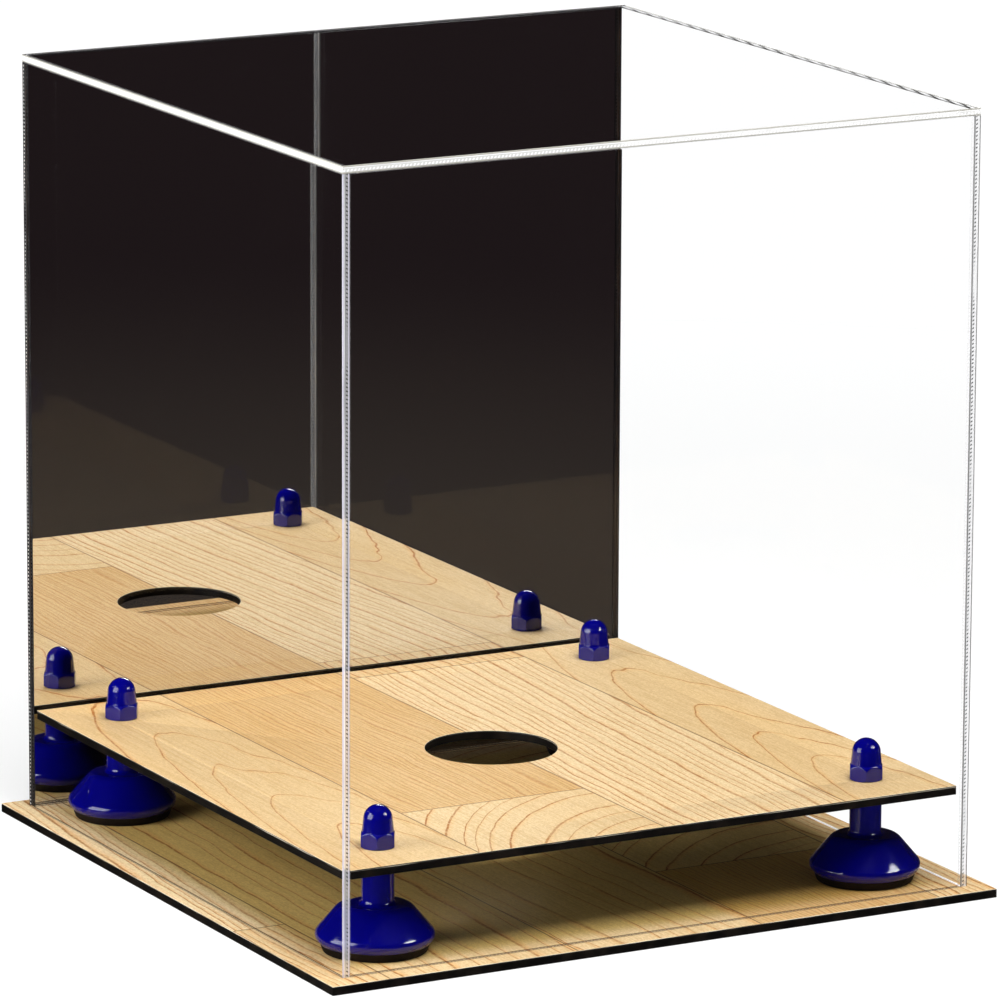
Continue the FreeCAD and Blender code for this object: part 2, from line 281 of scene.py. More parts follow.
clear_year = add(tree, "ShaderNodeTexWhiteNoise", {"W": year_number}, noise_dimensions="1D").outputs["Value"]
from_line = calc(tree, "MULTIPLY", apart(tree, year, 0.5), spacing)
from_line = calc(tree, "DIVIDE", from_line, slope)
line = rescale(tree, from_line, 0.4 * LINE_WIDTH, LINE_WIDTH, 1.0, 0.0)
broken = rescale(tree, noise(tree, where, (700.0, 460.0, 460.0)), 0.36, 0.56, 0.55, 1.0)
fading = rescale(tree, noise(tree, where, (60.0, 22.0, 22.0)), 0.34, 0.56, 0.72, 1.0)
shown = calc(tree, "MULTIPLY", calc(tree, "MULTIPLY", broken, fading), strength)
shown = calc(tree, "MULTIPLY", shown, rescale(tree, clear_year, 0.0, 0.7, 0.70, 1.0))
feed(tree, result["Rings"], calc(tree, "MULTIPLY", line, shown))
before_line = rescale(tree, year, 0.5, 0.55, 1.0, 0.0)
late_wood = calc(tree, "MULTIPLY", rescale(tree, from_line, 0.0, LATE_WIDTH, 1.0, 0.0), before_line)
feed(tree, result["Late Wood"], calc(tree, "MULTIPLY", late_wood, shown))

feed(tree, result["Fibres"], rescale(tree, noise(tree, where, (1000.0, 30.0, 30.0), 3.0), 0.44, 0.66))
cloud = calc(tree, "SUBTRACT", noise(tree, where, (14.0, 5.0, 5.0)), 0.5)
feed(tree, result["Tone"], calc(tree, "ADD", tone, calc(tree, "MULTIPLY", cloud, TONE_SWING)))


def seam_line(tree, inside, size):
    """A thin line where a board ends, given the place inside it from -0.5 to 0.5."""
    gap = calc(tree, "MULTIPLY", calc(tree, "SUBTRACT", 0.5, calc(tree, "ABSOLUTE", inside)), size)
    return rescale(tree, gap, 0.3 * SEAM_WIDTH, SEAM_WIDTH, 1.0, 0.0)


strip_seams = seam_line(tree, in_strip, STRIP_WIDTH)
butt_seams = seam_line(tree, in_length, BOARD_LENGTH)
feed(tree, result["Seams"], calc(tree, "MAXIMUM", strip_seams, butt_seams))
print("maple strips group has", len(tree.nodes), "nodes")

# %% [markdown]
# A sheet's finish turns those values into colour: pale to tan boards, orange-brown rings, fine fibres and
# brown seams. The print is sealed with a satin film, so the gloss is even and the fibres only just tilt the
# surface. On the base the platform's shade is painted in: a deeper gold where the platform shades it, and a
# painted lighter rim around that.

# %% The finish of a maple sheet
PALE_MAPLE = (0.870, 0.680, 0.405, 1.0)
TAN_MAPLE = (0.680, 0.430, 0.170, 1.0)
# The base's colours: a painted lighter rim, and deeper gold and brown as painted shade under the platform.
PAINTED_LIT_RIM_MAPLE = (0.970, 0.770, 0.470, 1.0)
PAINTED_SHADE_GOLD = (0.950, 0.700, 0.260, 1.0)
PAINTED_SHADE_BROWN = (0.700, 0.430, 0.090, 1.0)
RING_BROWN = (0.400, 0.125, 0.014, 1.0)
LATE_BROWN = (0.840, 0.420, 0.120, 1.0)
FIBRE_BROWN = (0.480, 0.270, 0.095, 1.0)
SEAM_BROWN = (0.160, 0.060, 0.018, 1.0)
FIBRE_SHARE, RING_SHARE, SEAM_SHARE, SPECKLE_SHARE = 0.20, 1.0, 0.90, 0.34
# Painted shade: the half sizes of the part of the base that the platform shades, and how softly it ends.
PAINTED_SHADE_HALF, PAINTED_SHADE_BLUR = (136 * MM, 138 * MM), 14 * MM


def maple_finish(name, seam_place, butt_place, board_shift, pale, tan, late, painted_shade=None):
    """A maple sheet with its seams, tones and share of late wood, and any painted shade with its lighter rim.
    """
    material, tree, shader, where = new_finish(name, {"Specular IOR Level": 0.05})
    strips = add(tree, "ShaderNodeGroup", {
        "Vector": where, "Seam Place": seam_place, "Butt Place": butt_place, "Board Shift": board_shift,
    }, node_tree=maple_strips)
    drawn = strips.outputs
    # Painted shade: inside those half sizes the colour stays deep, and outside them a painted lighter rim
    # takes over.
    if painted_shade:
        place = add(tree, "ShaderNodeSeparateXYZ", {0: where}).outputs
        beyond = [calc(tree, "SUBTRACT", calc(tree, "ABSOLUTE", axis), half)
                  for axis, half in zip(place, painted_shade)]
        painted_lit_rim = rescale(tree, calc(tree, "MAXIMUM", *beyond), -PAINTED_SHADE_BLUR, 0.0)
        pale = mix_colour(tree, painted_lit_rim, pale, PAINTED_LIT_RIM_MAPLE)
        tan = mix_colour(tree, painted_lit_rim, tan, TAN_MAPLE)
    colour = mix_colour(tree, drawn["Tone"], pale, tan)
    for part, share, tint in (("Fibres", FIBRE_SHARE, FIBRE_BROWN), ("Late Wood", late, LATE_BROWN),
                              ("Rings", RING_SHARE, RING_BROWN), ("Seams", SEAM_SHARE, SEAM_BROWN)):
        colour = mix_colour(tree, calc(tree, "MULTIPLY", drawn[part], share), colour, tint)
    speckle = rescale(tree, noise(tree, where, (1700.0, 700.0, 700.0)), 0.34, 0.66, 0.0, SPECKLE_SHARE)
    tint_by(tree, shader, speckle, colour, FIBRE_BROWN)
    roughen_by(tree, shader, drawn["Fibres"], 0.0, 1.0, 0.42, 0.56)
    bump(tree, shader, drawn["Fibres"], 0.05, 0.1 * MM)
    return material


platform_maple = maple_finish("platform maple sheet", -79.5 * MM, -73 * MM, 0, PALE_MAPLE, TAN_MAPLE, 0.32)
# The base gets the platform's painted shade, with a painted lighter rim around it.
base_maple = maple_finish("base maple sheet", -42.0 * MM, -265 * MM, 3, PAINTED_SHADE_GOLD, PAINTED_SHADE_BROWN, 0.75,
                          painted_shade=PAINTED_SHADE_HALF)
print("made", platform_maple.name, "and", base_maple.name)

# %% [markdown]
# ## The other finishes
# The risers and nuts are deep blue plastic with a hard gloss, in which the moulding leaves a trace of orange
# peel. The boards are black with a sawn edge, the pads are dark rubber and the bolts are zinc-plated steel.
# Each one gets its own scale of noise, because one even colour and one even gloss look unreal close up.

# %% Blue gloss, black board, rubber and steel
DEEP_BLUE, BRIGHT_BLUE = (0.0002, 0.0002, 0.135, 1.0), (0.0004, 0.0003, 0.185, 1.0)
BOARD_BLACK, BOARD_GRIME = (0.0022, 0.0016, 0.0012, 1.0), (0.011, 0.007, 0.004, 1.0)
# Painted highlights: the pale tones on the arrises paint the light that they catch.
PAINTED_GLINT_PALE = (0.66, 0.58, 0.46, 1.0)
PAINTED_HIGHLIGHT_TAN, PAINTED_HIGHLIGHT_PALE = (0.45, 0.33, 0.20, 1.0), (0.95, 0.86, 0.68, 1.0)
RUBBER_BLACK, RUBBER_DUST = (0.0055, 0.0032, 0.0018, 1.0), (0.014, 0.008, 0.004, 1.0)
ZINC_DARK, ZINC_PALE = (0.44, 0.45, 0.46, 1.0), (0.60, 0.60, 0.60, 1.0)

blue_gloss, tree, shader, where = new_finish("blue gloss plastic", {"Specular IOR Level": 0.55})
cloud = noise(tree, where, (60.0, 60.0, 60.0), 3.0)
tint_by(tree, shader, cloud, DEEP_BLUE, BRIGHT_BLUE)
roughen_by(tree, shader, cloud, 0.3, 0.7, 0.07, 0.11)
bump(tree, shader, noise(tree, where, (420.0, 420.0, 420.0)), 0.03, 0.2 * MM)

black_board, tree, shader, where = new_finish("black board", {"Specular IOR Level": 0.18})
sawn = noise(tree, where, (60.0, 60.0, 2600.0), 3.0)
grime = noise(tree, where, (150.0, 150.0, 150.0), 4.0)
tint_by(tree, shader, rescale(tree, grime, 0.40, 0.75), BOARD_BLACK, BOARD_GRIME)
roughen_by(tree, shader, sawn, 0.3, 0.7, 0.45, 0.65)
bump(tree, shader, sawn, 0.12, 0.1 * MM)

# Painted glint: broken pale patches on the platform board's upper arris.
painted_glint_arris, tree, shader, where = new_finish("black arris with painted glint")
painted_glint = rescale(tree, noise(tree, where, (30.0, 30.0, 30.0), 5.0), 0.46, 0.60)
tint_by(tree, shader, painted_glint, BOARD_BLACK, PAINTED_GLINT_PALE)
roughen_by(tree, shader, painted_glint, 0.0, 1.0, 0.40, 0.60)

# Painted highlight: a pale line along each sheet's upper arris.
painted_highlight_arris, tree, shader, where = new_finish("sheet arris with painted highlight")
painted_glint = noise(tree, where, (40.0, 40.0, 40.0), 4.0)
tint_by(tree, shader, rescale(tree, painted_glint, 0.35, 0.60), PAINTED_HIGHLIGHT_TAN, PAINTED_HIGHLIGHT_PALE)
roughen_by(tree, shader, painted_glint, 0.3, 0.7, 0.35, 0.55)

pad_rubber, tree, shader, where = new_finish("pad rubber", {"Specular IOR Level": 0.12})
grain = noise(tree, where, (1500.0, 1500.0, 1500.0), 3.0)
dust = noise(tree, where, (90.0, 90.0, 90.0), 3.0)
tint_by(tree, shader, rescale(tree, dust, 0.35, 0.8), RUBBER_BLACK, RUBBER_DUST)
roughen_by(tree, shader, grain, 0.3, 0.7, 0.62, 0.85)
bump(tree, shader, grain, 0.2, 0.15 * MM)

bolt_steel, tree, shader, where = new_finish("zinc-plated steel", {"Metallic": 1.0})
cloud = noise(tree, where, (300.0, 300.0, 80.0), 3.0)
tint_by(tree, shader, cloud, ZINC_DARK, ZINC_PALE)
roughen_by(tree, shader, cloud, 0.3, 0.7, 0.24, 0.42)
for number in CORNERS:
    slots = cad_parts["riser_bolt_%d" % number].data.materials
    slots.clear()
    slots.append(bolt_steel)
for finish in (blue_gloss, black_board, painted_glint_arris, painted_highlight_arris, pad_rubber, bolt_steel):
    print("made", finish.name)

# %% [markdown]
# ## Clear acrylic
# A panel's faces bend what is seen through them, so things inside look a little nearer, and a faint mirror
# gloss lies on top. The bending is a Refraction shader, for rays that come straight from the eye or through
# another panel. All other rays, such as those to the lamps, meet a Transparent shader, and that renders
# without noise. The Fresnel gloss is kept to the outside of the sheet. The mirror's own sheet only needs the
# Transparent part.

# %% Clear faces
ACRYLIC_IOR = 1.49
MOST_GLOSS = 0.02
CLEAR_TINT = (0.998, 0.999, 0.999, 1.0)
SMEAR_TINT = (0.95, 0.96, 0.97, 1.0)


def see_through(name, tint):
    """A finish that is mixed with a Transparent shader. Returns what new_finish does, and the mixing node."""
    material, tree, shader, where = new_finish(name)
    clear = add(tree, "ShaderNodeBsdfTransparent", {"Color": tint})
    mix = add(tree, "ShaderNodeMixShader")
    feed(tree, mix.inputs[1], clear.outputs[0])
    feed(tree, mix.inputs[2], shader.outputs[0])
    output = next(node for node in tree.nodes if node.type == "OUTPUT_MATERIAL")
    feed(tree, output.inputs["Surface"], mix.outputs[0])
    return material, tree, shader, where, mix


def clear_finish(name, bends):
    """A clear face with a faint gloss, which may bend what is seen through it."""
    material, tree, shader, where, mix = see_through(name, CLEAR_TINT)
    outside = calc(tree, "SUBTRACT", 1.0, add(tree, "ShaderNodeNewGeometry").outputs["Backfacing"])
    if bends:
        clear = mix.inputs[1].links[0].from_socket
        bent = add(tree, "ShaderNodeBsdfRefraction", {
            "Color": CLEAR_TINT, "Roughness": 0.0, "IOR": ACRYLIC_IOR})
        path = add(tree, "ShaderNodeLightPath").outputs
        from_eye = calc(tree, "MULTIPLY", path["Is Camera Ray"], outside)
        direct = calc(tree, "MAXIMUM", from_eye, path["Is Transmission Ray"])
        choice = add(tree, "ShaderNodeMixShader")
        for socket, value in zip(choice.inputs, (direct, clear, bent.outputs[0])):
            feed(tree, socket, value)
        feed(tree, mix.inputs[1], choice.outputs[0])
    gloss = add(tree, "ShaderNodeFresnel", {"IOR": ACRYLIC_IOR}).outputs[0]
    gloss = calc(tree, "MINIMUM", gloss, MOST_GLOSS)
    feed(tree, mix.inputs[0], calc(tree, "MULTIPLY", gloss, outside))
    smears = noise(tree, where, (24.0, 24.0, 24.0), 4.0)
    tint_by(tree, shader, smears, SMEAR_TINT, grey(1.0))
    roughen_by(tree, shader, smears, 0.4, 0.7, 0.01, 0.05)
    shader.inputs["Metallic"].default_value = 1.0
    return material


clear_face = clear_finish("clear acrylic face", True)
mirror_face = clear_finish("clear mirror face", False)
print("made", clear_face.name, "and", mirror_face.name)

# %% [markdown]
# The edges are what makes a panel show. Light that is caught inside the sheet leaves there, so an open edge
# shows a rim along each arris and a bright core that comes and goes, and between them it stays partly clear.
# These rims and cores are painted light, and a little emission paints their glow. The cement leaves rows of
# small slanting bubbles along a joint. A group draws all three from a map that runs along the edge and across
# its thickness, from the outside in. Each kind of edge gives them its own painted colours and clearness: a
# painted glow where the light leaves, painted grey at the far corner, painted black beside the mirror, and in
# one joint the bubbles are drawn out into dashes.

# %% The group that draws an acrylic edge, and the edge finishes
CORE_PLACE, LANE_PLACE = 0.22, 0.62
BUBBLES_PER_METRE = 640.0
edge_lines, given, result = new_group(
    "acrylic edge lines", (("Vector", "Vector"), ("Lane", "Float")), ("Rims", "Core", "Bubbles"))
tree = edge_lines
where = given["Vector"]
along, across = add(tree, "ShaderNodeSeparateXYZ", {"Vector": where}).outputs[:2]
feed(tree, result["Rims"], rescale(tree, apart(tree, across, 0.5), 0.26, 0.35))
glow = rescale(tree, noise(tree, where, (14.0, 0.5, 1.0)), 0.36, 0.60, 0.35, 1.0)
core = rescale(tree, apart(tree, across, CORE_PLACE), 0.05, 0.11, 1.0, 0.0)
feed(tree, result["Core"], calc(tree, "MULTIPLY", core, glow))
slant = calc(tree, "FRACT", calc(tree, "ADD", calc(tree, "MULTIPLY", along, BUBBLES_PER_METRE), across))
stroke = rescale(tree, apart(tree, slant, 0.5), 0.12, 0.28, 1.0, 0.0)
from_lane = calc(tree, "SUBTRACT", apart(tree, across, LANE_PLACE), given["Lane"])
lane = rescale(tree, from_lane, -0.04, 0.04, 1.0, 0.0)
patchy = rescale(tree, noise(tree, where, (26.0, 0.5, 1.0), 3.0), 0.30, 0.46)
feed(tree, result["Bubbles"], calc(tree, "MULTIPLY", calc(tree, "MULTIPLY", stroke, lane), patchy))


def edge_finish(name, body, rim, core, bubble, cover_range, light, stretch=1.0, lane=0.14):
    """An edge with the colours of its body, rims, core and bubbles.

    It has a least and a most cover and its own painted glow. Its bubbles can be stretched and set in a wider
    lane.
    """
    material, tree, shader, _, mix = see_through(name, (0.97, 0.97, 0.98, 1.0))
    edge_map = add(tree, "ShaderNodeUVMap", uv_map="edge_map").outputs[0]
    edge_map = add(tree, "ShaderNodeMapping", {"Vector": edge_map, "Scale": (stretch, 1.0, 1.0)}).outputs[0]
    lines = add(tree, "ShaderNodeGroup", {"Vector": edge_map, "Lane": lane}, node_tree=edge_lines).outputs
    colour, cover = (*body, 1.0), 0.0
    for part, tint in (("Core", core), ("Rims", rim), ("Bubbles", bubble)):
        colour = mix_colour(tree, lines[part], colour, (*tint, 1.0))
        cover = calc(tree, "MAXIMUM", cover, lines[part])
    feed(tree, shader.inputs["Base Color"], colour)
    # Painted glow: the edge's colours also shine as emission, standing in for light that leaves the sheet.
    feed(tree, shader.inputs["Emission Color"], colour)
    shader.inputs["Emission Strength"].default_value = light
    shader.inputs["Specular IOR Level"].default_value = 0.15
    roughen_by(tree, shader, lines["Bubbles"], 0.0, 1.0, 0.15, 0.40)
    feed(tree, mix.inputs[0], rescale(tree, cover, 0.0, 1.0, *cover_range))
    return material


# Painted light and shade: a clear edge has no colour of its own, so these colours paint the light and shade
# that it shows; only the bubbles are real.
WHITE, PEARL, LILAC, VIOLET = (0.97, 0.97, 0.97), (0.86, 0.86, 0.85), (0.80, 0.80, 0.82), (0.60, 0.58, 0.68)
OLIVE, GREY, BLACK = (0.42, 0.41, 0.37), (0.20, 0.20, 0.20), (0.012, 0.011, 0.012)
BROWN, CREAM = (0.060, 0.030, 0.012), (0.95, 0.88, 0.72)
top_edge = edge_finish("polished top edge", PEARL, OLIVE, WHITE, WHITE, (0.75, 0.97), 0.25)
left_corner = edge_finish("bright corner edge", LILAC, VIOLET, WHITE, BLACK, (0.35, 0.92), 0.12)
right_corner = edge_finish("grey corner edge", LILAC, GREY, WHITE, BLACK, (0.35, 0.95), 0.10)
rear_edge = edge_finish("dark rear edge", BLACK, BLACK, BLACK, WHITE, (1.0, 1.0), 0.3)
resting_edge = edge_finish("resting edge", CREAM, BROWN, CREAM, BROWN, (0.10, 0.75), 0.2)
bright_foot = edge_finish("bright resting edge", WHITE, WHITE, WHITE, CREAM, (0.75, 0.97), 0.3)
hidden_edge = edge_finish("cemented hidden edge", LILAC, LILAC, LILAC, WHITE, (0.03, 0.18), 0.0)
mirror_rim = edge_finish("dark mirror rim", BLACK, BLACK, BROWN, BLACK, (1.0, 1.0), 0.0)
dashed_joint = edge_finish("dashed cement joint", LILAC, GREY, LILAC, BLACK, (0.85, 0.97), 0.2, 0.13, 0.90)
CEMENTED = (hidden_edge, mirror_rim, dashed_joint)
print("edges that touch a neighbour:", [finish.name for finish in CEMENTED])

# %% [markdown]
# ## Mirror silver
# The mirror is a clear sheet with silver on its back, under a coat of grey paint. So the silver is a piece of
# its own, behind the sheet: bright metal in front, dull paint on its back and rims.

# %% Silver and its paint
SILVER_DULL, SILVER_BRIGHT = (0.86, 0.86, 0.86, 1.0), (0.90, 0.90, 0.89, 1.0)
PAINT_DARK, PAINT_PALE = (0.105, 0.110, 0.118, 1.0), (0.165, 0.170, 0.178, 1.0)

mirror_silver, tree, shader, where = new_finish("mirror silver", {"Metallic": 1.0})
haze = noise(tree, where, (10.0, 10.0, 10.0), 3.0)
tint_by(tree, shader, haze, SILVER_DULL, SILVER_BRIGHT)
roughen_by(tree, shader, haze, 0.4, 0.8, 0.004, 0.012)

backing_paint, tree, shader, where = new_finish("mirror backing paint")
rolled = noise(tree, where, (700.0, 700.0, 700.0), 3.0)
patches = noise(tree, where, (14.0, 14.0, 8.0), 4.0)
tint_by(tree, shader, patches, PAINT_DARK, PAINT_PALE)
roughen_by(tree, shader, rolled, 0.3, 0.7, 0.48, 0.66)
bump(tree, shader, rolled, 0.12, 0.1 * MM)
print("made", mirror_silver.name, backing_paint.name)

# %% [markdown]
# ## Boards and sheets
# A knife-sharp edge never catches the light, but every real arris does. The flat boards already have the
# right shape, so a copy of each one's mesh is merged into a clean solid and gets a tiny bevel. Three finishes
# go on by the way that a face looks: one for the flat top, one for the upper arris and one for all the rest.
# The sheets are black on their cut sides and have a painted pale highlight along their upper arris, and the
# platform's board has a painted broken glint along its own.


# %% Copies of the boards with softened arrises
WELD = 0.001 * MM
SAME_PLANE, SHARP_CORNER = math.radians(1.0), math.radians(40)
FACES_UP, LEANS_UP = 0.95, 0.2


def finish_mesh(mesh, sharp_degrees=20.0):
    """Shade a mesh smoothly, except across its sharp edges."""
    mesh.shade_smooth()
    mesh.set_sharp_from_angle(angle=math.radians(sharp_degrees))


def dress(piece, body, slot, *nodes):
    """Put a piece on its body, in place of the CAD nodes that it stands for."""
    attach(piece, body)
    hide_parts(*nodes)


def new_piece(name, mesh):
    """A new object in the scene."""
    piece = bpy.data.objects.new(name, mesh)
    scene.collection.objects.link(piece)
    return piece


def softened_board(name, node, finishes, bevel):
    """A copy of a flat CAD node with bevelled arrises, finished on its top, its upper arris and elsewhere."""
    mesh = bpy.data.meshes.new(name)
    work = bmesh.new()
    work.from_mesh(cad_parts[node].data)
    bmesh.ops.remove_doubles(work, verts=work.verts, dist=WELD)
    bmesh.ops.dissolve_limit(work, angle_limit=SAME_PLANE, verts=work.verts, edges=work.edges)
    arrises = [edge for edge in work.edges if edge.is_manifold and edge.calc_face_angle() > SHARP_CORNER]
    bmesh.ops.bevel(work, geom=arrises, offset=bevel, segments=2, profile=0.5, affect="EDGES",
                    clamp_overlap=True)
    bmesh.ops.triangulate(work, faces=[face for face in work.faces if len(face.verts) > 4])
    work.to_mesh(mesh)
    work.free()
    for finish in finishes:
        mesh.materials.append(finish)
    for face in mesh.polygons:
        face.material_index = 0 if face.normal.z > FACES_UP else 1 if face.normal.z > LEANS_UP else 2
    finish_mesh(mesh)
    print("%-20s %5d faces" % (name, len(mesh.polygons)))
    return new_piece(name, mesh)


BOARDS = (
    ("base_black_board", "base_board", (black_board, black_board, black_board), 0.30, "base", "black_board"),
    ("base_maple_sheet", "base_veneer", (base_maple, painted_highlight_arris, black_board), 0.15, "base", "maple_sheet"),
    ("platform_black_board", "platform_board", (black_board, painted_glint_arris, black_board), 0.30,
     "stand", "black_board"),
    ("platform_maple_sheet", "platform_veneer", (platform_maple, painted_highlight_arris, black_board), 0.25,
     "stand", "maple_sheet"),
)
for name, node, finishes, bevel, body, slot in BOARDS:
    dress(softened_board(name, node, finishes, bevel * MM), body, slot, node)

# %% [markdown]
# ## Turned pieces with Geometry Nodes
# Risers, pads and cap nuts are all turned shapes: a profile swept once around an axis. The tree takes the
# profile as a curve whose points carry the radius that their corner is rounded to, fillets it, and sweeps it
# around a small circle. A nut is a turned blank with six flats milled on it, so the tree then pulls every
# point in to the hexagon. That gives the curved line where the bevel meets a flat, as on a real nut.

# %% The tree that turns a profile and mills flats
SWEEP_RADIUS = 1 * MM
CORNER_EASE = 0.15 * MM
FILLET_STEPS = 6
SIXTH = math.radians(60)


def new_tree(name, inputs):
    """An empty Geometry Nodes tree with named inputs."""
    tree = bpy.data.node_groups.new(name, "GeometryNodeTree")
    tree.interface.new_socket("Geometry", in_out="OUTPUT", socket_type="NodeSocketGeometry")
    for socket, kind in inputs:
        tree.interface.new_socket(socket, in_out="INPUT", socket_type="NodeSocket" + kind)
    return tree, add(tree, "NodeGroupInput").outputs, add(tree, "NodeGroupOutput").inputs["Geometry"]


TURNING_INPUTS = (("Profile", "Geometry"), ("Sides", "Int"), ("Rows", "Int"), ("Flats", "Float"))
turned, given, result = new_tree("turned piece", TURNING_INPUTS)
tree = turned
rounding = add(tree, "GeometryNodeInputRadius").outputs[0]
fillet = add(tree, "GeometryNodeFilletCurve", {"Curve": given["Profile"], "Radius": rounding}, mode="POLY")
fillet.inputs["Count"].default_value = FILLET_STEPS
fillet.inputs["Limit Radius"].default_value = True
rows = add(tree, "GeometryNodeSubdivideCurve", {"Curve": fillet.outputs[0], "Cuts": given["Rows"]})
circle = add(tree, "GeometryNodeCurvePrimitiveCircle", {"Resolution": given["Sides"], "Radius": SWEEP_RADIUS})
sweep = add(tree, "GeometryNodeCurveToMesh", {
    "Curve": circle.outputs["Curve"], "Profile Curve": rows.outputs[0]})

position = add(tree, "GeometryNodeInputPosition").outputs[0]
spot = add(tree, "ShaderNodeSeparateXYZ", {"Vector": position}).outputs
radius = diagonal(tree, spot[0], spot[1])
angle = calc(tree, "ARCTAN2", spot[1], spot[0])
from_flat = calc(tree, "SUBTRACT", calc(tree, "FLOORED_MODULO", angle, SIXTH), SIXTH / 2)
flat = calc(tree, "DIVIDE", calc(tree, "DIVIDE", given["Flats"], 2.0), calc(tree, "COSINE", from_flat))
milled = calc(tree, "SMOOTH_MIN", radius, flat, CORNER_EASE)
shrink = calc(tree, "DIVIDE", milled, calc(tree, "MAXIMUM", radius, WELD))
moved = add(tree, "ShaderNodeCombineXYZ", {
    "X": calc(tree, "MULTIPLY", spot[0], shrink), "Y": calc(tree, "MULTIPLY", spot[1], shrink), "Z": spot[2]})
milling = add(tree, "GeometryNodeSetPosition", {"Geometry": sweep.outputs[0], "Position": moved.outputs[0]})
closed = add(tree, "GeometryNodeMergeByDistance", {"Geometry": milling.outputs[0], "Distance": 2 * WELD})
feed(tree, result, closed.outputs[0])
print("turned piece tree has", len(tree.nodes), "nodes")

# %% [markdown]
# Two trees place the turned piece. One puts it on the four corners of a rectangle, for the risers and pads,
# which all move with the stand. The other puts it at a single place, because each nut turns by itself and has
# to be a piece of its own. Both end in Realize Instances and Set Material, so that nothing is left as an
# instance.

# %% The trees that place turned pieces
four_corners, given, result = new_tree(
    "turned piece at four corners",
    (*TURNING_INPUTS, ("Finish", "Material"),
     ("Spread X", "Float"), ("Spread Y", "Float"), ("Foot", "Float")),
)
grid = add(four_corners, "GeometryNodeMeshGrid", {
    "Size X": given["Spread X"], "Size Y": given["Spread Y"], "Vertices X": 2, "Vertices Y": 2})
lift = add(four_corners, "ShaderNodeCombineXYZ", {"Z": given["Foot"]})
corner_points = add(four_corners, "GeometryNodeSetPosition", {
    "Geometry": grid.outputs["Mesh"], "Offset": lift.outputs[0]}).outputs[0]

one_place, given_once, result_once = new_tree(
    "turned piece at one place",
    (*TURNING_INPUTS, ("Finish", "Material"), ("Place", "Vector")),
)
one_point = add(one_place, "GeometryNodePoints", {"Count": 1, "Position": given_once["Place"]}).outputs[0]

for tree, inputs, points, end in (
        (four_corners, given, corner_points, result), (one_place, given_once, one_point, result_once)):
    piece = add(tree, "GeometryNodeGroup", node_tree=turned)
    for socket, _ in TURNING_INPUTS:
        feed(tree, piece.inputs[socket], inputs[socket])
    copies = add(tree, "GeometryNodeInstanceOnPoints", {"Points": points, "Instance": piece.outputs[0]})
    real = add(tree, "GeometryNodeRealizeInstances", {"Geometry": copies.outputs[0]})
    painted = add(tree, "GeometryNodeSetMaterial", {
        "Geometry": real.outputs[0], "Material": inputs["Finish"]})
    feed(tree, end, painted.outputs[0])


def turn_piece(name, profile, closed, tree, values, sharp_degrees):
    """Run a tree on a profile of (radius, height, rounding) in mm, and keep the result as a plain mesh."""
    curve = bpy.data.curves.new(name + "_profile", "CURVE")
    curve.dimensions = "3D"
    line = curve.splines.new("POLY")
    line.points.add(len(profile) - 1)
    line.use_cyclic_u = closed
    for point, (radius, height, rounding) in zip(line.points, profile):
        point.co = (radius * MM - SWEEP_RADIUS, -height * MM, 0.0, 1.0)
        point.radius = rounding * MM
    draft = bpy.data.objects.new(name + "_draft", curve)
    scene.collection.objects.link(draft)
    modifier = draft.modifiers.new("turn", "NODES")
    modifier.node_group = tree
    for item in tree.interface.items_tree:
        if item.in_out == "INPUT" and item.name in values:
            modifier[item.identifier] = values[item.name]
    mesh = bpy.data.meshes.new_from_object(draft.evaluated_get(bpy.context.evaluated_depsgraph_get()))
    bpy.data.objects.remove(draft)
    work = bmesh.new()
    work.from_mesh(mesh)
    bmesh.ops.recalc_face_normals(work, faces=work.faces)
    open_edges = sum(edge.is_boundary for edge in work.edges)
    work.to_mesh(mesh)
    work.free()
    mesh.name = name
    finish_mesh(mesh, sharp_degrees)
    print("%-16s %6d faces, %d open edges" % (name, len(mesh.polygons), open_edges))
    return new_piece(name, mesh)


# %% [markdown]
# ## Risers and pads
# A riser is a narrow neck on a wide flared foot. It stands on a rubber pad, and a bolt goes up through it
# from a recess underneath. The profile below runs from the recess out to the rim, up the cone to the neck and
# back down the hole. All radii, heights and roundings are in mm.

# %% Turn the risers and pads
NO_FLATS = 1.0
RISER_SIDES, RISER_SHARP = 96, 35.0
FOOT, FOOT_ROUND = 20.6, 0.3
RIM, RIM_HEIGHT, RIM_ROUND = 23.2, 3.0, 3.0
SHOULDER, SHOULDER_HEIGHT, SHOULDER_ROUND = 12.9, 15.2, 5.5
NECK, NECK_ROUND = 6.4, 2.0
BOLT_HOLE, HEAD_RECESS, RECESS_DEPTH = 4.25, 8.106, 6.0
PAD_FOOT, PAD_FOOT_ROUND = 19.2, 0.7
PAD_TOP, PAD_TOP_ROUND = 20.5, 0.2

riser_low, riser_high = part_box("riser_1")
pad_low, pad_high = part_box("riser_pad_1")
riser_height = (riser_high.z - riser_low.z) / MM
pad_height = (pad_high.z - pad_low.z) / MM
corner = (riser_low + riser_high) / 2
riser_profile = (
    (HEAD_RECESS, 0.0, 0.0), (FOOT, 0.0, FOOT_ROUND), (RIM, RIM_HEIGHT, RIM_ROUND),
    (SHOULDER, SHOULDER_HEIGHT, SHOULDER_ROUND), (NECK, SHOULDER_HEIGHT, NECK_ROUND),
    (NECK, riser_height, 0.0), (BOLT_HOLE, riser_height, 0.0),
    (BOLT_HOLE, RECESS_DEPTH, 0.0), (HEAD_RECESS, RECESS_DEPTH, 0.0),
)
pad_profile = (
    (0.0, 0.0, 0.0), (PAD_FOOT, 0.0, PAD_FOOT_ROUND), (PAD_TOP, pad_height, PAD_TOP_ROUND),
    (0.0, pad_height, 0.0),
)
round_pieces = {"Sides": RISER_SIDES, "Rows": 1, "Flats": NO_FLATS,
                "Spread X": abs(corner.x) * 2, "Spread Y": abs(corner.y) * 2}
